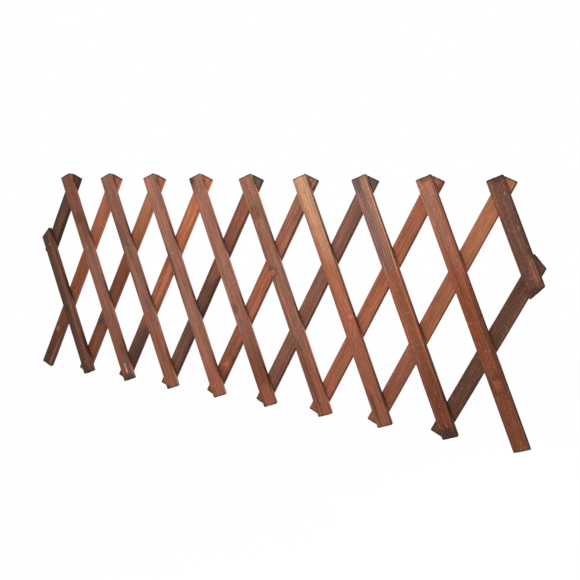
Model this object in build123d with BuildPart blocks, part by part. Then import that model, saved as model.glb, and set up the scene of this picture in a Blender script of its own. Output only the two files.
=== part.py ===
from build123d import *
import os
from math import cos, radians, sin, tan

# Slats, planed from softwood strip
slat_length = 463.0  # of a full slat
slat_width = 27.5
slat_thickness = 8.0
arris_bevel = 0.8  # along the four long edges
end_overhang = 27.5  # from a slat's end rivet place to the middle of its end cut
mitre_angle = 25.0  # how far off square the cut-down slats' outer ends are

# Lattice, as it stands partly opened
lean_angle = 23.6  # each slat off the vertical
row_count = 4  # rows of rivets, row 0 at the top
slats_per_layer = 10
held_row = 2  # the row of the rivet that the wall holds
layer_gap = 0.3  # between the front and the rear layer

# Rivets, one at every crossing
rivet_radius = 1.2
rivet_sides = 12  # the round wire in a few flats, with its corners at the radius
end_inset = 0.2  # both ends lie this far below the wood
running_clearance = 0.05  # between a rivet and the wood round it

half_width = slat_width / 2
mitre_skew = half_width * tan(radians(mitre_angle))
pivot_spacing = (slat_length - 2 * end_overhang) / (row_count - 1)  # along one slat
along_x = sin(radians(lean_angle))  # a slat's direction, of unit length
along_z = cos(radians(lean_angle))
pitch = 2 * pivot_spacing * along_x  # between neighbouring rivets in a row
row_height = pivot_spacing * along_z

# The rear layer's back lies in the wall plane, and outwards is away from the other layer
rear_inner_y = -slat_thickness
front_inner_y = rear_inner_y - layer_gap
front_face_y = front_inner_y - slat_thickness

hole_radius = rivet_radius + running_clearance
rivet_length = -front_face_y - 2 * end_inset
held_slat = (slats_per_layer - held_row) // 2  # the front slat on the held rivet

os.makedirs("parts", exist_ok=True)


# Front slats are counted from 0 at the left and rear slats from 1, and rear slat j is front slat
# slats_per_layer - j turned half round, so one count serves both layers.
def rivet_rows(count):
    return [row for row in range(row_count) if 1 <= count + row <= slats_per_layer]


def pivot_x(count, row):
    return (count + row / 2 - slats_per_layer / 2) * pitch


def pivot_z(row):
    return (held_row - row) * row_height


# The slat lies along the plane's X from its row 0 rivet place down, and grows along the plane's Z
def build_slat(name, inner_plane, count):
    rows = rivet_rows(count)
    cut_at_top = rows[0] > 0
    cut_at_foot = count == slats_per_layer - 1
    last_row = rows[-1] if cut_at_foot else row_count - 1
    top = rows[0] * pivot_spacing - end_overhang
    foot = last_row * pivot_spacing + end_overhang
    top_skew = mitre_skew if cut_at_top else 0
    foot_skew = mitre_skew if cut_at_foot else 0

    with BuildPart() as slat:
        with BuildSketch(inner_plane):
            with BuildLine():
                Polyline(
                    (top + top_skew, -half_width),
                    (foot + foot_skew, -half_width),
                    (foot - foot_skew, half_width),
                    (top - top_skew, half_width),
                    close=True,
                )
            make_face()
        extrude(amount=slat_thickness)
        long_edges = slat.edges().filter_by(Axis(inner_plane.origin, inner_plane.x_dir))
        chamfer(long_edges, length=arris_bevel)
        with Locations(inner_plane.offset(slat_thickness)):
            with Locations(*[(row * pivot_spacing, 0) for row in rows]):
                Hole(hole_radius)
    slat.part.label = name
    export_step(slat.part, f"parts/{name}.step")


# Wire rivets at the given places, which stop short of the wood's two faces
def build_rivets(name, places):
    with BuildPart() as rivets:
        with BuildSketch(Plane.XZ.offset(end_inset)):
            with Locations(*places):
                RegularPolygon(rivet_radius, rivet_sides)
        extrude(amount=rivet_length)
    rivets.part.label = name
    export_step(rivets.part, f"parts/{name}.step")


for count in range(slats_per_layer):
    front_plane = Plane(
        origin=(pivot_x(count, 0), front_inner_y, pivot_z(0)),
        x_dir=(along_x, 0, -along_z),
        z_dir=(0, -1, 0),
    )
    rear_plane = Plane(
        origin=(-pivot_x(count, 0), rear_inner_y, pivot_z(0)),
        x_dir=(-along_x, 0, -along_z),
        z_dir=(0, 1, 0),
    )
    build_slat(f"front_slat_{count + 1}", front_plane, count)
    build_slat(f"rear_slat_{slats_per_layer - count}", rear_plane, count)

# Each front slat carries its own rivets, apart from the one that the wall holds
for count in range(slats_per_layer):
    places = [
        (pivot_x(count, row), pivot_z(row))
        for row in rivet_rows(count)
        if (count, row) != (held_slat, held_row)
    ]
    build_rivets(f"rivets_{count + 1}", places)
build_rivets("centre_rivet", [(pivot_x(held_slat, held_row), pivot_z(held_row))])
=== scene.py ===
import math

import bpy
from mathutils import Euler, Matrix, Vector


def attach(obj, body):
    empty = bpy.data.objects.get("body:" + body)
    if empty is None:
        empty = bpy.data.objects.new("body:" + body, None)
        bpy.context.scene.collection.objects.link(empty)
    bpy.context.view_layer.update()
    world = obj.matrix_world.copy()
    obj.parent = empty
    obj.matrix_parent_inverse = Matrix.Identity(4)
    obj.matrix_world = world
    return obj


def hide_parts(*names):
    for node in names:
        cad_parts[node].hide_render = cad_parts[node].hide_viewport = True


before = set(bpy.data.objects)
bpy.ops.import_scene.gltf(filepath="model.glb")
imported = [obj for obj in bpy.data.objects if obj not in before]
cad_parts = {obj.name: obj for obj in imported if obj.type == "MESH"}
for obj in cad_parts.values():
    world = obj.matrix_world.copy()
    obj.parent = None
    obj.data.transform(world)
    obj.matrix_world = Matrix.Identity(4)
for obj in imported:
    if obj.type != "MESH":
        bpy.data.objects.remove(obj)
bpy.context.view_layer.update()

# The lattice as the frame holds it, in metres and degrees
lattice = {
    "width": 0.0275,
    "thickness": 0.008,
    "pivotSpacing": 0.136,
    "endOverhang": 0.0275,
    "mitreAngle": 25,
    "leanAngle": 23.6,
    "layerGap": 0.0003,
    "rows": 4,  # of rivets, row 0 at the top
    "heldRow": 2,  # the wall's rivet is in this row
    "slats": 10,  # in each layer
}


# A value in these helpers is a socket or a plain number or tuple
def join(value, socket):
    if isinstance(value, bpy.types.NodeSocket):
        socket.id_data.links.new(value, socket)
    else:
        socket.default_value = value


def setInputs(target, values):
    for key, value in values.items():
        join(value, target.inputs[key])


def node(kind, inputs, tree=None, **settings):
    # goes to the tree of its first linked input if none is given
    if tree is None:
        tree = next(value.id_data for value in inputs.values() if isinstance(value, bpy.types.NodeSocket))
    made = tree.nodes.new(kind)
    for key, value in settings.items():
        setattr(made, key, value)
    setInputs(made, inputs)
    return made.outputs


def calc(operation, *values):
    return node("ShaderNodeMath", dict(enumerate(values)), operation=operation)[0]


def plus(first, *others):
    for other in others:
        first = calc("ADD", first, other)
    return first


def minus(first, second):
    return calc("SUBTRACT", first, second)


def times(first, *others):
    for other in others:
        first = calc("MULTIPLY", first, other)
    return first


def over(first, second):
    return calc("DIVIDE", first, second)


def vector(operation, *values):
    found = node("ShaderNodeVectorMath", dict(enumerate(values)), operation=operation)
    return found["Value" if operation == "LENGTH" else "Vector"]


def scaled(value, factor):
    inputs = {"Vector": value, "Scale": factor}
    return node("ShaderNodeVectorMath", inputs, operation="SCALE")["Vector"]


def split(value):
    return node("ShaderNodeSeparateXYZ", {0: value})


def combine(x, y, z):
    return node("ShaderNodeCombineXYZ", {0: x, 1: y, 2: z})[0]


def ramp(value, low, high, start=0.0, end=1.0, smooth=False):
    kind = "SMOOTHSTEP" if smooth else "LINEAR"
    inputs = {0: value, 1: low, 2: high, 3: start, 4: end}
    return node("ShaderNodeMapRange", inputs, interpolation_type=kind)[0]


def fade(value, low, high):
    return ramp(value, low, high, 1.0, 0.0, smooth=True)


def grainNoise(place, stretch, seed, detail=2.0):
    # noise drawn out by the stretch, in features per metre along, across and through the slat
    inputs = {"Vector": vector("MULTIPLY", place, stretch), "W": seed, "Scale": 1.0, "Detail": detail}
    return node("ShaderNodeTexNoise", inputs, noise_dimensions="4D")[0]


def mixColour(factor, first, second, how="MIX"):
    inputs = {0: factor, 6: first, 7: second}
    return node("ShaderNodeMix", inputs, data_type="RGBA", blend_type=how)[2]


def newGroup(name, kind, inputs, outputs):
    # the sockets are given as a list of labels for each type
    tree = bpy.data.node_groups.new(name, kind + "NodeTree")
    for side, sockets in (("INPUT", inputs), ("OUTPUT", outputs)):
        for socketType, labels in sockets.items():
            for label in labels.split(", "):
                tree.interface.new_socket(label, in_out=side, socket_type="NodeSocket" + socketType)
    return tree, tree.nodes.new("NodeGroupInput").outputs, tree.nodes.new("NodeGroupOutput").inputs


def useGroup(group, *values):
    # takes the group's inputs in their order
    kind = group.bl_idname.replace("Tree", "Group")
    return node(kind, dict(enumerate(values)), node_tree=group)


def addObject(name, data):
    made = bpy.data.objects.new(name, data)
    bpy.context.scene.collection.objects.link(made)
    return made


# Camera, at the photograph's place in front of the trellis
photoCamera = {
    "place": (0.46321, -0.9164, 0.1599),
    "turn": (84.7501, -3.0804, 22.6403),
    "lens": 33.4026,
    "sensor": 36,
    "nearLimit": 0.01,
}
lensData = bpy.data.cameras.new("camera")
lensData.lens = photoCamera["lens"]
lensData.sensor_width = photoCamera["sensor"]
lensData.clip_start = photoCamera["nearLimit"]
camera = addObject("camera", lensData)
camera.location = photoCamera["place"]
camera.rotation_euler = Euler([math.radians(a) for a in photoCamera["turn"]])
bpy.context.scene.camera = camera
print("Camera set")

# Where each slat lies. Its own X runs down it from its row 0 rivet place, Y across to the viewer's
# right, and Z out of the wall
lean = math.radians(lattice["leanAngle"])
pitch = 2 * lattice["pivotSpacing"] * math.sin(lean)
rowHeight = lattice["pivotSpacing"] * math.cos(lean)
mitreSkew = lattice["width"] / 2 * math.tan(math.radians(lattice["mitreAngle"]))
totalDepth = 2 * lattice["thickness"] + lattice["layerGap"]


def slatPlace(number, isFront):
    side = 1 if isFront else -1
    start = number - 1 if isFront else number
    outwards = totalDepth if isFront else lattice["thickness"]
    along = Vector((side * math.sin(lean), 0, -math.cos(lean)))
    across = Vector((math.cos(lean), 0, side * math.sin(lean)))
    origin = Vector(((start - lattice["slats"] / 2) * pitch, -outwards, lattice["heldRow"] * rowHeight))
    turn = Matrix((along, across, Vector((0, -1, 0)))).transposed()
    return Matrix.Translation(origin) @ turn.to_4x4()


def rivetRows(number, isFront):
    # a slat's rows, and whether it is cut down above the first and below the last. Rear slat j is
    # front slat 11 - j turned half round
    count = number - 1 if isFront else lattice["slats"] - number
    rows = [row for row in range(lattice["rows"]) if 1 <= count + row <= lattice["slats"]]
    return rows, rows[0] > 0, count == lattice["slats"] - 1


def clenchSide(number):
    # down the slat, or up it for every third one
    return 1.0 if number % 3 else -1.0


# What planing, nailing and handling left on each slat. The keys of this shape and of those of the
# rivets and splinters are the names of the inputs of the node tree that takes them
slatShape = {
    "Arris": 0.0009,  # the eased long edges
    "Corner Wear": 0.0022,
    "Relief": 0.00022,  # how deep the grain is raised
    "Wander": 0.00018,  # how far an edge strays from straight
    "Front Dent": 0.0006,  # round each clenched end
    "Back Dent": 0.0011,  # round each rivet head
    "Torn Depth": 0.00055,  # where the face has torn away
    "Rows Across": 41,  # of the mesh
    "Rows Through": 9,
}
slatWear = {
    "ringsPerMetre": 565,  # of the mesh, along the slat
    "outerRows": 3.0,  # of the mesh, inside each eased edge
    "edgeZone": 1.6,  # of the arris, how wide those rows are
    "rounding": (0.65, 1.6),  # of the arris, from the sharpest to the roundest
    "mitreReach": 1.6,  # of the width, how far a mitre shears the slat
    "endGrain": (0.0012, 0.0002),  # metres from the end, none and full
    "endSoak": (0.0036, 0.0016),
    "easedEdge": (1.01, 1.3),  # of the edge's radius, none and full
    "clenchMiddle": 0.45,  # of the clenched end's reach
    "slit": (0.0038, 0.0014),  # half length and half width of the dent under a clenched end
    "slitFade": (0.7, 1.5),  # of that size, full and none
    "headDent": (0.0029, 0.0036),  # metres from the head's middle, full and none
    "facing": (0.4, 0.6),  # of the normal, from an edge to a face
    "tearFade": (0.7, 1.1),  # of the torn place's size
    "tearRagged": 0.4,
    "grainShares": (0.6, 0.4),  # of the relief, in the furrows and in the fine grain
    "sawDepth": 0.0005,
    "seedStep": 1.7,  # between one slat and the next
}
# Noises on the slat: stretch along, across and through, seed, detail and the range that is used
slatNoises = {
    "rounding": ((26, 90, 90), 0.0, 2.0, 0.3, 0.75),
    "stray": ((9, 1, 1), 3.1, 2.0, 0.25, 0.75),
    "tear": ((90, 900, 900), 4.4, 2.0, 0.25, 0.75),
    "furrow": ((14, 420, 420), 0.0, 1.0, 0.35, 0.65),
    "fine": ((32, 900, 900), 7.7, 1.0, 0.3, 0.7),
    "sawn": ((40, 260, 700), 1.9, 2.0, 0.3, 0.7),
}


def spreadGroup():
    # sets the outer rows of a grid inside the eased edge, and the rest evenly between
    inputs = {"Float": "Share, Zone, Size", "Int": "Rows"}
    tree, given, result = newGroup("edgeSpread", "Geometry", inputs, {"Float": "Place"})
    edge = over(slatWear["outerRows"], minus(given["Rows"], 1.0))
    farEdge = minus(1.0, edge)
    middle = minus(given["Size"], times(given["Zone"], 2.0))
    first = ramp(given["Share"], 0.0, edge, 0.0, given["Zone"])
    second = ramp(given["Share"], edge, farEdge, 0.0, middle)
    third = ramp(given["Share"], farEdge, 1.0, 0.0, given["Zone"])
    join(minus(plus(first, second, third), over(given["Size"], 2.0)), result["Place"])
    return tree


def keepField(geometry, label, value):
    inputs = {"Geometry": geometry, "Name": label, "Value": value}
    kind = "GeometryNodeStoreNamedAttribute"
    return node(kind, inputs, data_type="FLOAT_VECTOR", domain="POINT")[0]


def keptField(tree, label):
    kind = "GeometryNodeInputNamedAttribute"
    return node(kind, {"Name": label}, tree, data_type="FLOAT_VECTOR")[0]


def keptWithin(value, limit):
    return vector("MINIMUM", vector("MAXIMUM", value, scaled(limit, -1.0)), limit)


def endTree(geometry, material, result):
    # each tree ends as one smooth mesh with its material
    whole = node("GeometryNodeRealizeInstances", {"Geometry": geometry})[0]
    smooth = node("GeometryNodeSetShadeSmooth", {"Geometry": whole, "Shade Smooth": True})[0]
    finished = node("GeometryNodeSetMaterial", {"Geometry": smooth, "Material": material})[0]
    join(finished, result["Geometry"])


def slatTree():
    inputs = {
        "Float": "Start, Length, Width, Thickness, Top Skew, Foot Skew, Arris, Corner Wear, Relief, "
        "Wander, Front Dent, Back Dent, Clench Shift, Torn Depth, Pivot Spacing, First Pivot, "
        "Last Pivot, Seed",
        "Vector": "Torn Place, Torn Reach",
        "Int": "Rings Along, Rows Across, Rows Through",
        "Material": "Material",
    }
    tree, given, result = newGroup("slat", "Geometry", inputs, {"Geometry": "Geometry"})
    spread = spreadGroup()

    def noise(label, place, start, end):
        stretch, seed, detail, low, high = slatNoises[label]
        drawn = grainNoise(place, stretch, plus(given["Seed"], seed), detail)
        return ramp(drawn, low, high, start, end)

    rows = (given["Rings Along"], given["Rows Across"], given["Rows Through"])
    sizes = (given["Length"], given["Width"], given["Thickness"])
    inputs = {"Size": (1, 1, 1), "Vertices X": rows[0], "Vertices Y": rows[1], "Vertices Z": rows[2]}
    grid = node("GeometryNodeMeshCube", inputs)["Mesh"]
    share = split(vector("ADD", node("GeometryNodeInputPosition", {}, tree)[0], (0.5, 0.5, 0.5)))
    zone = times(given["Arris"], slatWear["edgeZone"])
    spreadOut = [useGroup(spread, share[i], zone, sizes[i], rows[i])["Place"] for i in range(3)]
    plain = combine(*spreadOut)

    # Each edge is rounded by its own wandering radius
    radius = times(given["Arris"], noise("rounding", plain, *slatWear["rounding"]))
    halfSize = scaled(combine(*sizes), 0.5)
    core = keptWithin(plain, vector("SUBTRACT", halfSize, combine(radius, radius, radius)))
    outward = vector("SUBTRACT", plain, core)
    reach = vector("LENGTH", outward)
    rounded = vector("ADD", core, scaled(outward, over(radius, reach)))

    # The corners of its outline are worn round
    flat = vector("MULTIPLY", rounded, (1, 1, 0))
    wear = combine(given["Corner Wear"], given["Corner Wear"], 0.0)
    inner = keptWithin(flat, vector("SUBTRACT", vector("MULTIPLY", halfSize, (1, 1, 0)), wear))
    past = vector("SUBTRACT", flat, inner)
    pastSides = split(vector("ABSOLUTE", past))
    shrink = over(calc("MAXIMUM", pastSides[0], pastSides[1]), vector("LENGTH", past))
    worn = split(vector("ADD", inner, scaled(past, shrink)))

    # The mitres shear the ends, and the rounded slat is set along from its first rivet place
    halfLength = over(given["Length"], 2.0)
    acrossShare = over(worn[1], over(given["Width"], 2.0))
    shearLength = times(given["Width"], slatWear["mitreReach"])
    fromTop = plus(worn[0], halfLength)
    fromFoot = minus(halfLength, worn[0])
    topShear = times(given["Top Skew"], ramp(fromTop, 0.0, shearLength, 1.0, 0.0))
    footShear = times(given["Foot Skew"], ramp(fromFoot, 0.0, shearLength, 1.0, 0.0))
    along = plus(fromTop, given["Start"], times(plus(topShear, footShear), acrossShare))
    stray = times(noise("stray", combine(along, 0.0, 0.0), -1.0, 1.0), given["Wander"])
    squeezed = minus(worn[1], times(acrossShare, given["Wander"]))
    onFace = minus(split(rounded)[2], over(given["Thickness"], 2.0))
    local = combine(along, plus(squeezed, stray), onFace)

    # Each point keeps its place on the slat, and how far it is on end grain, on an eased edge and in
    # the soaked end
    nearEnd = calc("MINIMUM", fromTop, fromFoot)
    endGrain = ramp(nearEnd, *slatWear["endGrain"])
    endSoak = ramp(nearEnd, *slatWear["endSoak"])
    eased = ramp(over(reach, radius), *slatWear["easedEdge"])
    stored = keepField(grid, "grainPlace", local)
    stored = keepField(stored, "endAndEdge", combine(endGrain, eased, endSoak))
    place = keptField(tree, "grainPlace")
    placed = node("GeometryNodeSetPosition", {"Geometry": stored, "Position": place})[0]

    # Dents: a slit along the grain under each clenched end, and a round one for each head
    here = split(place)
    nearest = calc("ROUND", over(here[0], given["Pivot Spacing"]))
    nearest = calc("MINIMUM", calc("MAXIMUM", nearest, given["First Pivot"]), given["Last Pivot"])
    pastPivot = minus(here[0], times(nearest, given["Pivot Spacing"]))
    pastClench = minus(pastPivot, given["Clench Shift"])
    slitLength, slitWidth = slatWear["slit"]
    slitShape = combine(over(pastClench, slitLength), over(here[1], slitWidth), 0.0)
    slitDent = fade(vector("LENGTH", slitShape), *slatWear["slitFade"])
    headDistance = vector("LENGTH", combine(pastPivot, here[1], 0.0))
    headDent = fade(headDistance, *slatWear["headDent"])
    normal = node("GeometryNodeInputNormal", {}, tree)[0]
    facing = split(normal)[2]
    onTheFront = ramp(facing, *slatWear["facing"])
    slitDent = times(slitDent, onTheFront, calc("GREATER_THAN", given["Front Dent"], 0.0))
    headDent = times(headDent, ramp(times(facing, -1.0), *slatWear["facing"]))

    # A place where the surface has torn away along the grain
    tearShape = vector("DIVIDE", vector("SUBTRACT", place, given["Torn Place"]), given["Torn Reach"])
    ragged = noise("tear", place, -slatWear["tearRagged"], slatWear["tearRagged"])
    tearDistance = plus(vector("LENGTH", vector("MULTIPLY", tearShape, (1, 1, 0))), ragged)
    isTorn = calc("GREATER_THAN", given["Torn Depth"], 0.0)
    torn = times(ramp(tearDistance, *slatWear["tearFade"], 1.0, 0.0), onTheFront, isTorn)
    dented = keepField(placed, "dentAndTorn", combine(slitDent, torn, 0.0))

    # Raised grain, dents and saw-cut ends, all of them sunk below the planed faces
    onEnd = split(keptField(tree, "endAndEdge"))[0]
    furrowShare, fineShare = slatWear["grainShares"]
    raised = plus(noise("furrow", place, 0.0, furrowShare), noise("fine", place, 0.0, fineShare))
    depth = plus(
        times(raised, given["Relief"]),
        times(onEnd, noise("sawn", place, 0.0, slatWear["sawDepth"])),
        times(slitDent, given["Front Dent"]),
        times(headDent, given["Back Dent"]),
        times(torn, given["Torn Depth"]),
    )
    inward = scaled(normal, times(depth, -1.0))
    sunk = node("GeometryNodeSetPosition", {"Geometry": dented, "Offset": inward})[0]
    endTree(sunk, given["Material"], result)
    return tree


def growPiece(name, tree, values, place):
    # runs the tree once and keeps its result as a plain mesh in the shared frame
    piece = addObject(name, bpy.data.meshes.new(name))
    modifier = piece.modifiers.new(tree.name, "NODES")
    modifier.node_group = tree
    for item in tree.interface.items_tree:
        if item.in_out == "INPUT" and item.name in values:
            modifier[item.identifier] = values[item.name]
    graph = bpy.context.evaluated_depsgraph_get()
    mesh = bpy.data.meshes.new_from_object(piece.evaluated_get(graph))
    piece.modifiers.remove(modifier)
    piece.data = mesh
    mesh.transform(place)
    mesh.name = name
    return piece


# Growth rings cut by the slat's faces, as fine stripes where the middle of the tree lies beside the
# slat, and as wide arches where it lies under it
ringLook = {
    "slowWave": ((5, 30, 30), 0.0, 0.006),  # its noise's stretch and seed, and its height
    "quickWave": ((16, 120, 120), 5.3, 0.0006),
    "darkening": (0.45, 0.78),  # of a year's ring
    "yearEnd": (0.92, 1.0),
    "palestYear": 0.45,
}


def ringGroup():
    inputs = {"Vector": "Place", "Float": "Ring Width, Pith Across, Pith Depth, Taper, Wave, Warp, Seed"}
    tree, given, result = newGroup("growthRings", "Shader", inputs, {"Float": "Latewood, Shade"})
    here = split(given["Place"])
    wave = 0.0
    for stretch, seed, height in (ringLook["slowWave"], ringLook["quickWave"]):
        drawn = grainNoise(given["Place"], stretch, plus(given["Seed"], seed))
        wave = plus(wave, ramp(drawn, 0.2, 0.8, -height, height))
    across = plus(minus(here[1], given["Pith Across"]), times(here[0], given["Taper"]))
    depth = minus(here[2], given["Pith Depth"])
    distance = vector("LENGTH", combine(across, depth, 0.0))
    distance = plus(distance, times(wave, given["Wave"]), given["Warp"])
    count = over(distance, given["Ring Width"])
    age = calc("FRACT", count)
    rise = ramp(age, *ringLook["darkening"], smooth=True)
    late = times(rise, fade(age, *ringLook["yearEnd"]))
    year = plus(calc("FLOOR", count), given["Seed"])
    lot = node("ShaderNodeTexWhiteNoise", {"W": year}, noise_dimensions="1D")["Value"]
    join(times(late, ramp(lot, 0.0, 1.0, ringLook["palestYear"], 1.0)), result["Latewood"])
    join(lot, result["Shade"])
    return tree


# Masks of the wood's fibres: stretch along, across and through, detail and the range that is used
fibreMasks = {
    "Streak": ((5, 300, 300), 3.0, 0.3, 0.7),
    "Fine": ((34, 900, 900), 3.0, 0.28, 0.72),
    "Blotch": ((22, 75, 75), 3.0, 0.25, 0.75),
    "Hue": ((34, 150, 150), 3.0, 0.32, 0.68),
    "Speck": ((210, 640, 640), 1.0, 0.56, 0.72),
    "Fleck": ((120, 1200, 1200), 2.0, 0.66, 0.71),
    "Pore": ((40, 2300, 2300), 1.0, 0.52, 0.66),
    "Hair": ((60, 5200, 5200), 2.0, 0.3, 0.7),
}
maskSeedStep = 2.3  # between one mask and the next


def fibreGroup():
    inputs = {"Vector": "Place", "Float": "Seed"}
    tree, given, result = newGroup("woodFibres", "Shader", inputs, {"Float": ", ".join(fibreMasks)})
    for index, (label, (stretch, detail, low, high)) in enumerate(fibreMasks.items()):
        drawn = grainNoise(given["Place"], stretch, plus(given["Seed"], index * maskSeedStep), detail)
        join(ramp(drawn, low, high), result[label])
    return tree


def raggedDistance(given, sizeAlong, sizeAcross, seed, stretch, ragged):
    # how far a point is from the group's given place, in sizes, with an edge broken up by the grain
    here = split(given["Place"])
    along = over(minus(here[0], given["Along"]), sizeAlong)
    across = over(minus(here[1], given["Across"]), sizeAcross)
    rough = ramp(grainNoise(given["Place"], stretch, seed, 3.0), 0.25, 0.75, -ragged, ragged)
    return plus(vector("LENGTH", combine(along, across, 0.0)), rough), along, across


# A knot, in its own sizes from its middle. An edge is its noise's stretch and how ragged it is
knotLook = {
    "length": 1.35,  # of its width
    "edge": ((170, 320, 320), 0.5),
    "seed": 6.1,
    "core": (0.45, 0.85),
    "rimStart": (0.5, 0.9),
    "rimEnd": (1.0, 1.7),
    "swirlLength": 2.2,  # how much longer than the knot the rings bend
    "swirl": 2.6,
}
patchLook = {"edge": ((40, 330, 330), 0.35), "fade": (0.55, 1.1)}


def knotGroup():
    inputs = {"Vector": "Place", "Float": "Along, Across, Size"}
    tree, given, result = newGroup("knot", "Shader", inputs, {"Float": "Core, Rim, Warp"})
    length = times(given["Size"], knotLook["length"])
    edge = (knotLook["seed"], *knotLook["edge"])
    distance, along, across = raggedDistance(given, length, given["Size"], *edge)
    join(fade(distance, *knotLook["core"]), result["Core"])
    rise = ramp(distance, *knotLook["rimStart"], smooth=True)
    join(times(rise, fade(distance, *knotLook["rimEnd"])), result["Rim"])
    wide = vector("LENGTH", combine(over(along, knotLook["swirlLength"]), across, 0.0))
    swirl = fade(wide, 0.0, knotLook["swirl"])
    join(times(swirl, given["Size"]), result["Warp"])
    return tree


def patchGroup():
    # a soft-edged patch of another tone, drawn out along the grain
    inputs = {"Vector": "Place", "Float": "Along, Across, Reach Along, Reach Across, Seed"}
    tree, given, result = newGroup("stainPatch", "Shader", inputs, {"Float": "Mask"})
    reach = (given["Reach Along"], given["Reach Across"])
    distance = raggedDistance(given, *reach, given["Seed"], *patchLook["edge"])[0]
    join(fade(distance, *patchLook["fade"]), result["Mask"])
    return tree


shaderGroups = {"rings": ringGroup(), "fibres": fibreGroup(), "knot": knotGroup(), "patch": patchGroup()}

# Stain tones, as they look on the screen
tones = {
    "sand": (186, 140, 108),
    "honey": (172, 112, 80),
    "orange": (187, 114, 79),
    "tan": (170, 125, 104),
    "clay": (166, 112, 88),
    "copper": (160, 101, 72),
    "rust": (152, 92, 66),
    "rose": (154, 104, 86),
    "mauve": (143, 97, 80),
    "taupe": (129, 87, 72),
    "russet": (135, 83, 63),
    "sienna": (131, 72, 46),
    "chestnut": (118, 71, 53),
    "hazel": (116, 79, 63),
    "walnut": (111, 63, 43),
    "cocoa": (104, 70, 56),
    "umber": (92, 61, 47),
    "bark": (79, 51, 38),
    "plum": (116, 90, 88),
    "lilac": (172, 134, 128),
    "moss": (88, 84, 76),
    "charcoal": (62, 51, 46),
    "soot": (42, 37, 35),
    "ember": (150, 76, 52),
    "straw": (226, 182, 140),
}

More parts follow.
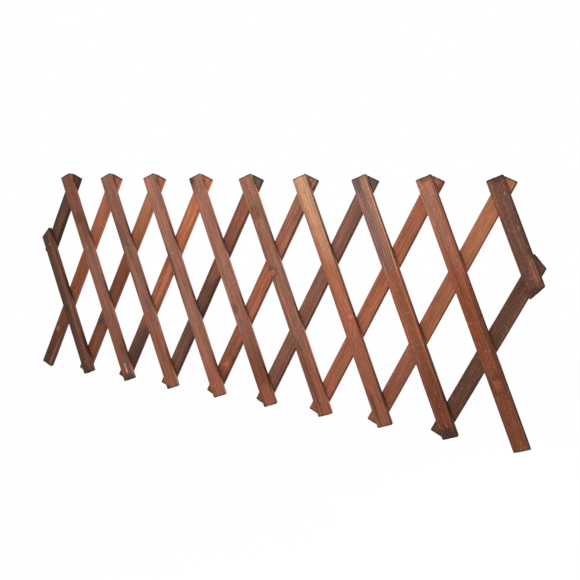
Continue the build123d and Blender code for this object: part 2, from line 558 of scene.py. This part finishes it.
# One finish for each slat. Tones are at its top, middle and foot. Rings are the ring width, the tree's
# middle across and behind the slat, and how strong they show; taper sets them askew and wave makes them
# wander. Hues, streaks, blotches, specks, flecks and pores are strengths, and so is the dark line of
# painted shade along the right edge. A knot is its kind, its place and its size. A patch is its tone, its
# place along and across, its reach along and across, and its strength. Lengths here are in millimetres
plainFinish = {
    "tones": ("mauve", "mauve", "russet"),
    "rings": (3.6, 45, -10, 0.5),
    "taper": 0.004,
    "wave": 1.0,
    "hues": 1.0,
    "streaks": 0.4,
    "blotches": 0.35,
    "specks": 0.4,
    "flecks": 0.1,
    "pores": 0.6,
    # how strong the painted shade along the right edge is
    "paintedShadeLine": 0.9,
    "knots": (),
    "patches": (),
}
finishes = {
    "front_slat_1": {
        "tones": ("bark", "bark", "bark"),
        "rings": (4, 50, -10, 0.5),
        "paintedShadeLine": 0.0,
        "flecks": 0.3,
        "patches": (
            ("soot", 300, -11.5, 250, 4.5, 0.4),
            ("chestnut", 280, 6, 240, 6, 0.6),
            ("ember", 283, 8, 11, 4, 0.45),
            ("soot", 283, -3, 14, 6, 0.5),
            ("soot", 434, -6, 8, 20, 0.6),
            ("soot", 220, -10.5, 120, 4.5, 0.4),
        ),
    },
    "front_slat_2": {
        "tones": ("chestnut", "taupe", "chestnut"),
        "rings": (4.2, 30, -20, 0.25),
        "paintedShadeLine": 0.0,
        "knots": (("brown", 72, -1, 8.5),),
        "patches": (
            ("walnut", 30, 3, 40, 8, 0.4),
            ("bark", 372, 6, 18, 3, 0.8),
            ("moss", 405, 7, 35, 6, 0.6),
            ("charcoal", 434, 0, 14, 20, 0.85),
            ("umber", 60, -10, 140, 4.5, 0.45),
        ),
    },
    "front_slat_3": {
        "tones": ("taupe", "taupe", "russet"),
        "rings": (4, 40, -20, 0.3),
        "paintedShadeLine": 0.2,
        "patches": (
            ("umber", 105, -3, 35, 8, 0.5),
            ("charcoal", 140, 0, 30, 4, 0.4),
            ("mauve", 200, 4, 60, 6, 0.5),
            ("soot", 434, -10, 8, 8, 0.8),
            ("umber", 80, -10.5, 180, 4, 0.35),
        ),
    },
    "front_slat_4": {
        "tones": ("mauve", "mauve", "russet"),
        "rings": (4.2, 45, -8, 0.35),
        "paintedShadeLine": 0.3,
        "patches": (
            ("charcoal", 160, -10.5, 60, 2.8, 0.8),
            ("clay", 330, 0, 80, 4, 0.4),
            ("honey", -10, -4, 30, 5, 0.35),
            ("umber", 180, -10, 100, 4.5, 0.3),
        ),
    },
    "front_slat_5": {
        "tones": ("mauve", "mauve", "walnut"),
        "rings": (6, 20, -30, 0.25),
        "paintedShadeLine": 0.3,
        "knots": (("dark", -19, -8.5, 4.2), ("red", 241, -6, 5)),
        "patches": (("rust", 420, 2, 30, 12, 0.6),),
    },
    "front_slat_6": {
        "tones": ("mauve", "mauve", "russet"),
        "rings": (4.5, 30, -20, 0.3),
        "flecks": 0.25,
        "specks": 0.8,
        "paintedShadeLine": 0.35,
        "knots": (("red", 44, -3, 7.5), ("orange", 160, -8.5, 6.5)),
        "patches": (
            ("umber", 370, -4, 90, 3, 0.85),
            ("rust", 380, 8, 80, 5, 0.7),
            ("umber", 260, -10.5, 240, 4.5, 0.5),
        ),
    },
    "front_slat_7": {
        "tones": ("sand", "rust", "russet"),
        "rings": (4.2, 40, -15, 0.35),
        "flecks": 0.2,
        "specks": 0.6,
        "wave": 0.6,
        "hues": 0.6,
        "streaks": 0.25,
        "blotches": 0.25,
        "knots": (("pale", 238, 6, 5.5),),
        "patches": (
            ("copper", 200, 4, 50, 6, 0.5),
            ("umber", 400, -7, 50, 4, 0.8),
            ("russet", 160, -10.5, 240, 4, 0.5),
        ),
    },
    "front_slat_8": {
        "tones": ("tan", "rust", "walnut"),
        "rings": (3.9, 70, -6, 1.0),
        "taper": 0.002,
        "wave": 0.35,
        "streaks": 0.3,
        "specks": 0.9,
        "flecks": 0.4,
        "patches": (
            ("plum", 30, -7.5, 140, 9.5, 0.65),
            ("moss", -19, -7, 22, 9, 0.6),
            ("ember", 402, 1, 14, 6, 0.55),
            ("charcoal", 430, 0, 14, 20, 0.9),
        ),
    },
    "front_slat_9": {
        "tones": ("rose", "sienna", "walnut"),
        "rings": (4, 50, -10, 0.45),
        "wave": 0.6,
        "specks": 1.2,
        "flecks": 0.65,
        "knots": (("ruddy", 326, -1, 9.5),),
        "patches": (
            ("clay", -10, -2, 50, 7, 0.5),
            ("cocoa", -24.5, 3, 7, 14, 0.75),
            ("bark", 250, 8.5, 120, 3, 0.75),
            ("umber", 270, 2.5, 50, 1.6, 0.7),
            ("walnut", 50, 10.5, 120, 4, 0.45),
        ),
    },
    "front_slat_10": {
        "tones": ("cocoa", "umber", "umber"),
        "rings": (3.6, 50, -10, 0.5),
        "hues": 0.6,
        "wave": 0.5,
        "specks": 1.5,
        "flecks": 0.8,
        "patches": (
            ("soot", 70, 11.5, 60, 4, 0.5),
            ("soot", -24.5, 4, 7, 14, 0.5),
            ("copper", -5, -10, 40, 3, 0.4),
            ("lilac", 65, 0.5, 80, 0.9, 0.3),
            ("copper", 128, 6, 28, 5.5, 0.35),
            ("soot", 160, 2, 7, 20, 0.5),
        ),
    },
    "rear_slat_1": {
        "tones": ("bark", "bark", "bark"),
        "rings": (4, 50, -10, 0.4),
        "patches": (("soot", 70, -10.5, 80, 4, 0.65), ("chestnut", 90, 2, 40, 5, 0.3)),
    },
    "rear_slat_2": {
        "tones": ("rust", "sienna", "bark"),
        "paintedShadeLine": 0.1,
        "rings": (4.4, 20, -30, 0.5),
        "knots": (("pale", 344, -4, 4.5),),
        "patches": (
            ("orange", 70, 0, 50, 8, 0.4),
            ("honey", 116, -2, 20, 3, 0.4),
            ("soot", 434, -3, 6, 14, 0.7),
            ("bark", 390, -9, 70, 6, 0.6),
            ("orange", 400, 9, 50, 3.5, 0.3),
        ),
    },
    "rear_slat_3": {
        "tones": ("copper", "walnut", "walnut"),
        "paintedShadeLine": 0.3,
        "patches": (("soot", 312, -3, 10, 10, 0.45),),
    },
    "rear_slat_4": {
        "tones": ("orange", "rust", "bark"),
        "paintedShadeLine": 0.5,
        "rings": (5, 30, -20, 0.6),
        "patches": (
            ("orange", 190, 4, 90, 5, 0.4),
            ("ember", 250, -3, 50, 2, 0.8),
            ("charcoal", 338, 4, 45, 11, 0.7),
            ("walnut", 120, -10.5, 130, 4.5, 0.45),
        ),
    },
    "rear_slat_5": {
        "tones": ("russet", "umber", "cocoa"),
        "patches": (
            ("moss", -24, -2, 15, 20, 0.85),
            ("russet", 165, 0, 35, 12, 0.45),
            ("charcoal", 270, 4, 30, 12, 0.5),
        ),
    },
    "rear_slat_6": {
        "tones": ("mauve", "rust", "walnut"),
        "knots": (("pale", 365, 0, 7.5), ("dark", 362, -4, 1.5)),
        "patches": (("rose", -16, 0, 20, 20, 0.6), ("walnut", 200, -10.5, 180, 4, 0.35)),
    },
    "rear_slat_7": {
        "tones": ("taupe", "taupe", "hazel"),
        "rings": (3.8, 60, -8, 0.7),
        "wave": 0.6,
        "patches": (("moss", -25, 0, 16, 20, 0.85), ("chestnut", 300, 0, 140, 8, 0.4)),
    },
    "rear_slat_8": {
        "tones": ("rust", "rust", "rust"),
        "rings": (4, 50, -10, 0.35),
        "flecks": 0.25,
        "specks": 0.7,
        "patches": (("umber", -22, 9, 20, 4, 0.6), ("orange", -17, 0, 10, 6, 0.5)),
    },
    "rear_slat_9": {
        "tones": ("honey", "rust", "russet"),
        "rings": (3.8, 40, -15, 0.4),
        "flecks": 0.25,
        "specks": 0.7,
        "patches": (("orange", -12, 4, 9, 6, 0.6),),
    },
    "rear_slat_10": {
        "tones": ("cocoa", "umber", "umber"),
        "rings": (3.4, 60, -8, 0.55),
        "specks": 0.9,
        "flecks": 0.35,
    },
}
# A kind of knot is its core's tone and strength and its rim's
knotKinds = {
    "dark": ("soot", 0.9, "charcoal", 0.6),
    "brown": ("charcoal", 0.8, "bark", 0.5),
    "red": ("chestnut", 0.8, "umber", 0.6),
    "orange": ("copper", 0.6, "bark", 0.65),
    "pale": ("orange", 0.5, "ember", 0.5),
    "ruddy": ("ember", 0.5, "bark", 0.7),
}

# How the stain lies on the wood. A tint multiplies the colour under it, and a range is where a mask
# begins and ends to tell, with the value at each
stainLook = {
    "grainShift": 0.37,  # metres along the wood for each unit of the seed
    "toneWander": (0.0, 1.0, -0.05, 0.05),  # metres by which the change from tone to tone strays
    "toMiddleTone": (0.02, 0.2),  # metres down the slat
    "toFootTone": (0.22, 0.4),
    "redder": (1.08, 0.96, 0.9, 1),
    "greyer": (0.86, 0.95, 0.98, 1),
    "fineGrain": 0.2,  # how much lighter and darker it is
    "hairGrain": 0.16,
    "latewood": (0.42, 0.34, 0.32, 1),
    "pore": (0.56, 0.48, 0.45, 1),
    "speck": (1.75, 1.35, 1.15, 1),
    "soaked": (0.3, 0.27, 0.27, 1),
    "soakedEnd": (0.2, 0.18, 0.18, 1),
    "soakedEndShare": 0.85,
    "soakedEdge": (0.2, 0.9, 0.6, 0.1),
    "soakedDentShare": 0.35,
    # painted shade: the tint of the dark line along the right edge, standing in for the shade on that side
    "paintedShadeLine": (0.16, 0.13, 0.12, 1),
    "paintedShadeReach": (0.003, 0.0016),  # metres from the slat's edge, none and full
    "paintedShadeBreaks": (0.1, 0.8, 1.0, 0.7),
    "rubbed": (1.7, 1.5, 1.4, 1),
    "rubbedEdge": (0.55, 0.85, 0.0, 0.25),
    "tornShare": 0.8,
    "roughness": (0.0, 1.0, 0.58, 0.74),
    "shine": 0.14,
    "fineHeight": 0.6,
    "hairHeight": 0.3,
    "latewoodDepth": 0.3,
    "bump": {"Strength": 0.6, "Distance": 0.0003},
}


def linear(tone):
    # a tone as the shader wants it
    screen = [value / 255 for value in tones[tone]]
    return tuple(s / 12.92 if s < 0.04045 else ((s + 0.055) / 1.055) ** 2.4 for s in screen) + (1,)


def metres(lengths):
    return [length / 1000 for length in lengths]


def tinted(colour, tint, share=1.0):
    return mixColour(share, colour, tint, "MULTIPLY")


def newMaterial(name):
    material = bpy.data.materials.new(name)
    material.use_nodes = True
    return material, material.node_tree, material.node_tree.nodes["Principled BSDF"]


def woodMaterial(name, finish, seed):
    material, tree, shader = newMaterial(name)
    look = stainLook
    place, endAndEdge, dentAndTorn = (
        node("ShaderNodeAttribute", {}, tree, attribute_name=label)["Vector"]
        for label in ("grainPlace", "endAndEdge", "dentAndTorn")
    )
    onEdge, inSoak = split(endAndEdge)[1:]
    inDent, inTear = split(dentAndTorn)[:2]
    along, across = split(place)[:2]
    shift = vector("ADD", place, (seed * look["grainShift"], 0.0, 0.0))

    knots = []
    warp = 0.0
    for kind, *area in finish["knots"]:
        found = useGroup(shaderGroups["knot"], place, *metres(area))
        knots.append((kind, found))
        warp = plus(warp, found["Warp"])
    *ringSizes, ringStrength = finish["rings"]
    ringValues = (*metres(ringSizes), finish["taper"], finish["wave"], warp, seed)
    rings = useGroup(shaderGroups["rings"], shift, *ringValues)
    fibres = useGroup(shaderGroups["fibres"], shift, seed)

    # Stain from top to foot, redder or greyer where the wood drank it unevenly
    topTone, middleTone, footTone = (linear(tone) for tone in finish["tones"])
    strayed = plus(along, ramp(fibres["Blotch"], *look["toneWander"]))
    colour = mixColour(ramp(strayed, *look["toMiddleTone"], smooth=True), topTone, middleTone)
    colour = mixColour(ramp(strayed, *look["toFootTone"], smooth=True), colour, footTone)
    hue = ramp(fibres["Hue"], 0.0, 1.0, 0.5 - finish["hues"] / 2, 0.5 + finish["hues"] / 2)
    colour = mixColour(hue, tinted(colour, look["greyer"]), tinted(colour, look["redder"]))
    light = 1.0
    for mask, strength in (
        (fibres["Blotch"], finish["blotches"] / 2),
        (fibres["Streak"], finish["streaks"] / 2),
        (fibres["Fine"], look["fineGrain"]),
        (fibres["Hair"], look["hairGrain"]),
        (rings["Shade"], ringStrength / 4),
    ):
        light = times(light, ramp(mask, 0.0, 1.0, 1 - strength, 1 + strength))
    colour = scaled(colour, light)

    # Patches, rings, knots, pores, specks and flecks
    for index, (tone, *area, strength) in enumerate(finish["patches"]):
        mask = useGroup(shaderGroups["patch"], place, *metres(area), seed + index)["Mask"]
        colour = mixColour(times(mask, strength), colour, scaled(linear(tone)[:3], light))
    colour = tinted(colour, look["latewood"], times(rings["Latewood"], ringStrength))
    for kind, found in knots:
        coreTone, coreStrength, rimTone, rimStrength = knotKinds[kind]
        colour = mixColour(times(found["Rim"], rimStrength), colour, linear(rimTone))
        colour = mixColour(times(found["Core"], coreStrength), colour, scaled(linear(coreTone)[:3], light))
    colour = tinted(colour, look["pore"], times(fibres["Pore"], finish["pores"]))
    colour = tinted(colour, look["speck"], times(fibres["Speck"], finish["specks"]))
    colour = mixColour(times(fibres["Fleck"], finish["flecks"]), colour, linear("straw"))

    # The ends drink the most stain, eased edges hold more of it or are rubbed paler, a dark line of
    # painted shade runs along the right edge, and torn wood is bare
    soaked = tinted(colour, look["soaked"])
    colour = tinted(colour, look["soakedEnd"], times(inSoak, look["soakedEndShare"]))
    colour = mixColour(times(onEdge, ramp(fibres["Streak"], *look["soakedEdge"])), colour, soaked)
    # Painted shade: a dark line along the right edge, where the slat's side lies in shade
    fromEdge = minus(lattice["width"] / 2, across)
    paintedShadeGaps = ramp(fibres["Streak"], *look["paintedShadeBreaks"])
    paintedShadeShare = times(ramp(fromEdge, *look["paintedShadeReach"]), paintedShadeGaps, finish["paintedShadeLine"])
    colour = tinted(colour, look["paintedShadeLine"], paintedShadeShare)
    colour = tinted(colour, look["rubbed"], times(onEdge, ramp(fibres["Blotch"], *look["rubbedEdge"])))
    colour = mixColour(times(inDent, look["soakedDentShare"]), colour, soaked)
    bare = mixColour(fibres["Fine"], linear("rust"), linear("straw"))
    colour = mixColour(times(inTear, look["tornShare"]), colour, bare)

    grain = plus(times(fibres["Fine"], look["fineHeight"]), times(fibres["Hair"], look["hairHeight"]))
    height = minus(grain, times(rings["Latewood"], look["latewoodDepth"]))
    values = {
        "Base Color": colour,
        "Roughness": ramp(fibres["Fine"], *look["roughness"]),
        "Specular IOR Level": look["shine"],
        "Normal": node("ShaderNodeBump", {"Height": height, **look["bump"]})[0],
    }
    setInputs(shader, values)
    return material


# The rivets, whose clenched ends dent the slats too
rivetShape = {
    "Wire Radius": 0.0012,
    "Head Radius": 0.0026,
    "Head Thickness": 0.0009,
    "Clench Reach": 0.0054,  # how far the bent end lies along the slat
    "End Inset": 0.0001,
    "Steps": 70,
    "Sides": 12,
    "Swing": math.radians(14),  # off the grain
}

# Where a slat's face has torn away: along, across, reach along and across
tornPlaces = {"front_slat_2": (0.409, 0.001, 0.013, 0.0022)}

slatNodes = slatTree()
spans = [(number, isFront) for isFront in (True, False) for number in range(1, lattice["slats"] + 1)]
for index, (number, isFront) in enumerate(spans):
    layer = "front" if isFront else "rear"
    cadNode = f"{layer}_slat_{number}"
    seed = index * slatWear["seedStep"]
    finish = {**plainFinish, **finishes[cadNode]}
    rows, isCutTop, isShortFoot = rivetRows(number, isFront)
    spacing = lattice["pivotSpacing"]
    top = rows[0] * spacing - lattice["endOverhang"]
    lastRow = rows[-1] if isShortFoot else lattice["rows"] - 1
    foot = lastRow * spacing + lattice["endOverhang"]
    skew = -mitreSkew if isFront else mitreSkew
    tornAlong, tornAcross, tornReachAlong, tornReachAcross = tornPlaces.get(cadNode, (0, 0, 1, 1))
    values = {
        **slatShape,
        "Start": top,
        "Length": foot - top,
        "Width": lattice["width"],
        "Thickness": lattice["thickness"],
        "Top Skew": skew * isCutTop,
        "Foot Skew": skew * isShortFoot,
        "Front Dent": slatShape["Front Dent"] * isFront,
        "Back Dent": slatShape["Back Dent"] * (not isFront),
        "Clench Shift": rivetShape["Clench Reach"] * slatWear["clenchMiddle"] * clenchSide(number),
        "Torn Place": (tornAlong, tornAcross, 0.0),
        "Torn Reach": (tornReachAlong, tornReachAcross, 1.0),
        "Torn Depth": slatShape["Torn Depth"] * (cadNode in tornPlaces),
        "Pivot Spacing": spacing,
        "First Pivot": float(rows[0]),
        "Last Pivot": float(rows[-1]),
        "Rings Along": round(slatWear["ringsPerMetre"] * (foot - top)),
        "Seed": seed,
        "Material": woodMaterial(cadNode + "_stain", finish, seed),
    }
    slat = growPiece(cadNode + "_wood", slatNodes, values, slatPlace(number, isFront))
    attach(slat, cadNode)
    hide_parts(cadNode)
print("Slats planed and stained:", len(spans))

# How a rivet's wire runs, in shares of its way from the head to the clenched end, and how thick it is
rivetPath = {
    "climbEnd": 0.78,  # where it is just under the face
    "turnStart": 0.74,
    "liftStart": 0.8,
    "lift": 0.5,  # of the wire's radius
    "underFace": 0.88,  # of the wire's radius, at the end of the climb
    "chamferHeight": 0.4,  # of the head's thickness
    "chamferStart": 0.7,  # of the head's radius
    "taperStart": 0.72,
    "wireTaper": (0.8, 0.26),  # of the wire's radius, before the taper and at the tip
}


def straightPath(tree, start, end, count):
    # a line of points, and each one's share of the way
    line = node("GeometryNodeCurvePrimitiveLine", {"Start": start, "End": end}, tree)[0]
    path = node("GeometryNodeResampleCurve", {"Curve": line, "Count": count})[0]
    return path, node("GeometryNodeSplineParameter", {}, tree)["Factor"]


def sweptAlong(path, sides, radius, scale):
    sizes = {"Resolution": sides, "Radius": radius}
    ring = node("GeometryNodeCurvePrimitiveCircle", sizes, path.id_data)[0]
    inputs = {"Curve": path, "Profile Curve": ring, "Scale": scale, "Fill Caps": True}
    return node("GeometryNodeCurveToMesh", inputs)[0]


def draw(low, high, seed):
    # a random number for each instance
    inputs = {2: low, 3: high, "Seed": seed}
    return node("FunctionNodeRandomValue", inputs, data_type="FLOAT")[1]


def turnedCopies(points, shape, swing, seed, **inputs):
    # a copy on each point, turned a little off the grain
    turn = combine(0.0, 0.0, draw(times(swing, -1.0), swing, seed))
    inputs = {"Points": points, "Instance": shape, "Rotation": turn, **inputs}
    return node("GeometryNodeInstanceOnPoints", inputs)[0]


def rivetTree():
    # a nail for each row: head at the back, shank through both slats, and end clenched over in front
    inputs = {
        "Float": "Pivot Spacing, Depth, Wire Radius, Head Radius, Head Thickness, Clench Reach, "
        "Clench Side, End Inset, Swing",
        "Int": "First Row, Count, Left Out Row, Steps, Sides, Seed",
        "Material": "Material",
    }
    tree, given, result = newGroup("rivetRow", "Geometry", inputs, {"Geometry": "Geometry"})
    path, share = straightPath(tree, (0, 0, 0), (0, 0, 1), given["Steps"])

    # The wire climbs to just under the face, and then turns along the grain
    climbStart = minus(given["End Inset"], given["Depth"])
    climbEnd = minus(times(given["Wire Radius"], -rivetPath["underFace"]), given["End Inset"])
    climb = ramp(share, 0.0, rivetPath["climbEnd"], climbStart, climbEnd)
    lift = times(ramp(share, rivetPath["liftStart"], 1.0), given["Wire Radius"], rivetPath["lift"])
    reach = times(given["Clench Reach"], given["Clench Side"])
    bend = combine(ramp(share, rivetPath["turnStart"], 1.0, 0.0, reach), 0.0, plus(climb, lift))
    bent = node("GeometryNodeSetPosition", {"Geometry": path, "Position": bend})[0]

    # Its radius: a chamfered head, the wire, and a blunt taper at the clenched end
    fromBack = times(over(share, rivetPath["climbEnd"]), given["Depth"])
    chamferHeight = times(given["Head Thickness"], rivetPath["chamferHeight"])
    chamfer = ramp(fromBack, 0.0, chamferHeight, rivetPath["chamferStart"], 1.0)
    onHead = calc("LESS_THAN", fromBack, given["Head Thickness"])
    taper = ramp(share, rivetPath["taperStart"], 1.0, *rivetPath["wireTaper"])
    headRadius = times(given["Head Radius"], chamfer, onHead)
    radius = calc("MAXIMUM", headRadius, times(given["Wire Radius"], taper))
    nail = sweptAlong(bent, given["Sides"], 1.0, radius)

    # One nail in each row but the one that is left out
    spacing = combine(given["Pivot Spacing"], 0.0, 0.0)
    first = scaled(spacing, given["First Row"])
    inputs = {"Count": given["Count"], "Start Location": first, "Offset": spacing}
    places = node("GeometryNodeMeshLine", inputs)[0]
    row = plus(node("GeometryNodeInputIndex", {}, tree)[0], given["First Row"])
    isThere = calc("GREATER_THAN", calc("ABSOLUTE", minus(row, given["Left Out Row"])), 0.5)
    nails = turnedCopies(places, nail, given["Swing"], given["Seed"], Selection=isThere)
    endTree(nails, given["Material"], result)
    return tree


# Drawn wire, dulled and here and there rusted. A noise is its features per metre, its seed, its detail
# and the range that is used
steelLook = {
    "dullNoise": (500, 0.4, 2.0, 0.35, 0.65),
    "rustNoise": (9, 2.7, 1.0, 0.5, 0.62),
    "colours": ((0.22, 0.15, 0.10, 1), (0.52, 0.38, 0.26, 1)),
    "rust": (0.2, 0.12, 0.08, 1),
    "metallic": (0.0, 1.0, 0.75, 0.3),  # from bright to rusted
    "roughness": (0.0, 1.0, 0.5, 0.38),
}


def evenNoise(tree, features, seed, detail, low, high):
    place = node("ShaderNodeTexCoord", {}, tree)["Object"]
    return ramp(grainNoise(place, (features, features, features), seed, detail), low, high)


def steelMaterial():
    material, tree, shader = newMaterial("rivetSteel")
    dull = evenNoise(tree, *steelLook["dullNoise"])
    rust = evenNoise(tree, *steelLook["rustNoise"])
    wire = mixColour(dull, *steelLook["colours"])
    values = {
        "Base Color": mixColour(rust, wire, steelLook["rust"]),
        "Metallic": ramp(rust, *steelLook["metallic"]),
        "Roughness": ramp(dull, *steelLook["roughness"]),
    }
    setInputs(shader, values)
    return material


rivetNodes = rivetTree()
steel = steelMaterial()
heldNumber = (lattice["slats"] - lattice["heldRow"]) // 2 + 1
for number in range(1, lattice["slats"] + 1):
    rows = rivetRows(number, True)[0]
    leftOut = lattice["heldRow"] if number == heldNumber else -1
    groups = [(f"rivets_{number}", f"nails_{number}", rows[0], len(rows), leftOut)]
    if number == heldNumber:
        groups.append(("centre_rivet", "centre_nail", lattice["heldRow"], 1, -1))
    for cadNode, label, firstRow, count, leftOut in groups:
        values = {
            **rivetShape,
            "First Row": firstRow,
            "Count": count,
            "Left Out Row": leftOut,
            "Pivot Spacing": lattice["pivotSpacing"],
            "Depth": totalDepth,
            "Clench Side": clenchSide(number),
            "Seed": number,
            "Material": steel,
        }
        rivet = growPiece(label, rivetNodes, values, slatPlace(number, True))
        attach(rivet, "centre_rivet" if cadNode == "centre_rivet" else f"front_slat_{number}")
        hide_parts(cadNode)
print("Rivets driven and clenched")

# Thin slivers of bare wood that lie in a torn place, along the grain
splinterShape = {
    "Count": 9,
    "Length": 0.018,
    "Thickness": 0.00032,
    "Depth": 0.00045,  # under the face
    "Swing": math.radians(9),
}
sliverForm = {
    "steps": 14,
    "sides": 7,
    "startTaper": (0.0, 0.3, 0.25, 1.0),
    "endTaper": (0.55, 1.0, 1.0, 0.1),
    "sizes": (0.45, 1.0),  # smallest and largest
    "spread": (0.5, 0.8),  # of the torn place's reach, along and across
}
bareLook = {"noise": (350, 1.3, 2.0, 0.35, 0.65), "tones": ("clay", "straw"), "roughness": 0.7}


def splinterTree():
    inputs = {
        "Float": "Length, Thickness, Depth, Swing",
        "Vector": "Spread",
        "Int": "Count, Seed",
        "Material": "Material",
    }
    tree, given, result = newGroup("splinters", "Geometry", inputs, {"Geometry": "Geometry"})
    half = over(given["Length"], 2.0)
    start = combine(times(half, -1.0), 0.0, 0.0)
    path, share = straightPath(tree, start, combine(half, 0.0, 0.0), sliverForm["steps"])
    taper = times(ramp(share, *sliverForm["startTaper"]), ramp(share, *sliverForm["endTaper"]))
    sliver = sweptAlong(path, sliverForm["sides"], given["Thickness"], taper)
    reach = vector("MULTIPLY", given["Spread"], (1, 1, 0))
    inputs = {0: scaled(reach, -1.0), 1: reach, "Seed": given["Seed"]}
    scatter = node("FunctionNodeRandomValue", inputs, data_type="FLOAT_VECTOR")[0]
    spots = vector("ADD", scatter, combine(0.0, 0.0, times(given["Depth"], -1.0)))
    points = node("GeometryNodePoints", {"Count": given["Count"], "Position": spots})[0]
    size = draw(*sliverForm["sizes"], given["Seed"])
    scale = combine(size, size, 1.0)
    slivers = turnedCopies(points, sliver, given["Swing"], given["Seed"], Scale=scale)
    endTree(slivers, given["Material"], result)
    return tree


def bareWoodMaterial():
    material, tree, shader = newMaterial("bareWood")
    bareTones = (linear(tone) for tone in bareLook["tones"])
    colour = mixColour(evenNoise(tree, *bareLook["noise"]), *bareTones)
    setInputs(shader, {"Base Color": colour, "Roughness": bareLook["roughness"]})
    return material


splinterNodes = splinterTree()
bareWood = bareWoodMaterial()
for index, (cadNode, (along, across, reachAlong, reachAcross)) in enumerate(tornPlaces.items()):
    spreadAlong, spreadAcross = sliverForm["spread"]
    values = {
        **splinterShape,
        "Spread": (reachAlong * spreadAlong, reachAcross * spreadAcross, 0.0),
        "Seed": index,
        "Material": bareWood,
    }
    number = int(cadNode.split("_")[-1])
    spot = slatPlace(number, True) @ Matrix.Translation((along, across, 0))
    splinters = growPiece(cadNode + "_splinters", splinterNodes, values, spot)
    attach(splinters, cadNode)
print("Torn places done")

# Studio: a white floor well below, a white surround, and three soft lamps, from the front left, from
# above and from behind on the right
studio = {
    "floorHeight": -0.75,
    "floorSize": 40,
    "floorShader": {"Base Color": (0.95, 0.95, 0.95, 1), "Roughness": 0.9, "Specular IOR Level": 0.0},
    "floorShadow": 0.04,  # how much of the object's shadow shows on the white
    "floorFade": (1.6, 5.0),  # metres from the object over which it goes
    "ambient": 0.26,
    "aim": (0, 0, 0.06),
    "lamps": {  # place, size and power
        "sideLamp": ((-2.4, -6.6, 3.0), 2.2, 246),
        "topLamp": ((-0.2, -1.35, 1.45), 0.7, 17),
        "backLamp": ((2.3, 1.0, 1.0), 1.2, 100),
    },
}
bpy.context.scene.view_settings.view_transform = "Standard"


def seenAsWhite(tree):
    # 1 for what the camera sees straight, in a mirror or through glass
    seen = node("ShaderNodeLightPath", {}, tree)
    straight = calc("MAXIMUM", seen["Is Camera Ray"], seen["Is Glossy Ray"])
    return calc("MAXIMUM", straight, seen["Is Transmission Ray"])


world = bpy.data.worlds.new("surround")
bpy.context.scene.world = world
world.use_nodes = True
background = world.node_tree.nodes["Background"]
strength = ramp(seenAsWhite(world.node_tree), 0.0, 1.0, studio["ambient"], 1.0)
setInputs(background, {"Color": (1, 1, 1, 1), "Strength": strength})

half = studio["floorSize"] / 2
corners = [(x * half, y * half, studio["floorHeight"]) for x, y in ((-1, -1), (1, -1), (1, 1), (-1, 1))]
floorMesh = bpy.data.meshes.new("floor")
floorMesh.from_pydata(corners, [], [(0, 1, 2, 3)])
floor = addObject("floor", floorMesh)
floorMaterial, tree, shader = newMaterial("floorWhite")
setInputs(shader, studio["floorShader"])
glow = node("ShaderNodeEmission", {"Color": (1, 1, 1, 1), "Strength": 1.0}, tree)[0]
away = vector("LENGTH", node("ShaderNodeNewGeometry", {}, tree)["Position"])
whiteShare = times(ramp(away, *studio["floorFade"], 1 - studio["floorShadow"], 1.0), seenAsWhite(tree))
mixed = node("ShaderNodeMixShader", {0: whiteShare, 1: shader.outputs[0], 2: glow})[0]
join(mixed, tree.nodes["Material Output"].inputs["Surface"])
floorMesh.materials.append(floorMaterial)

for name, (spot, size, power) in studio["lamps"].items():
    lamp = bpy.data.lights.new(name, "AREA")
    lamp.shape = "SQUARE"
    lamp.size = size
    lamp.energy = power
    holder = addObject(name, lamp)
    holder.location = spot
    holder.rotation_euler = (Vector(studio["aim"]) - Vector(spot)).to_track_quat("-Z", "Y").to_euler()
print("Studio lit")
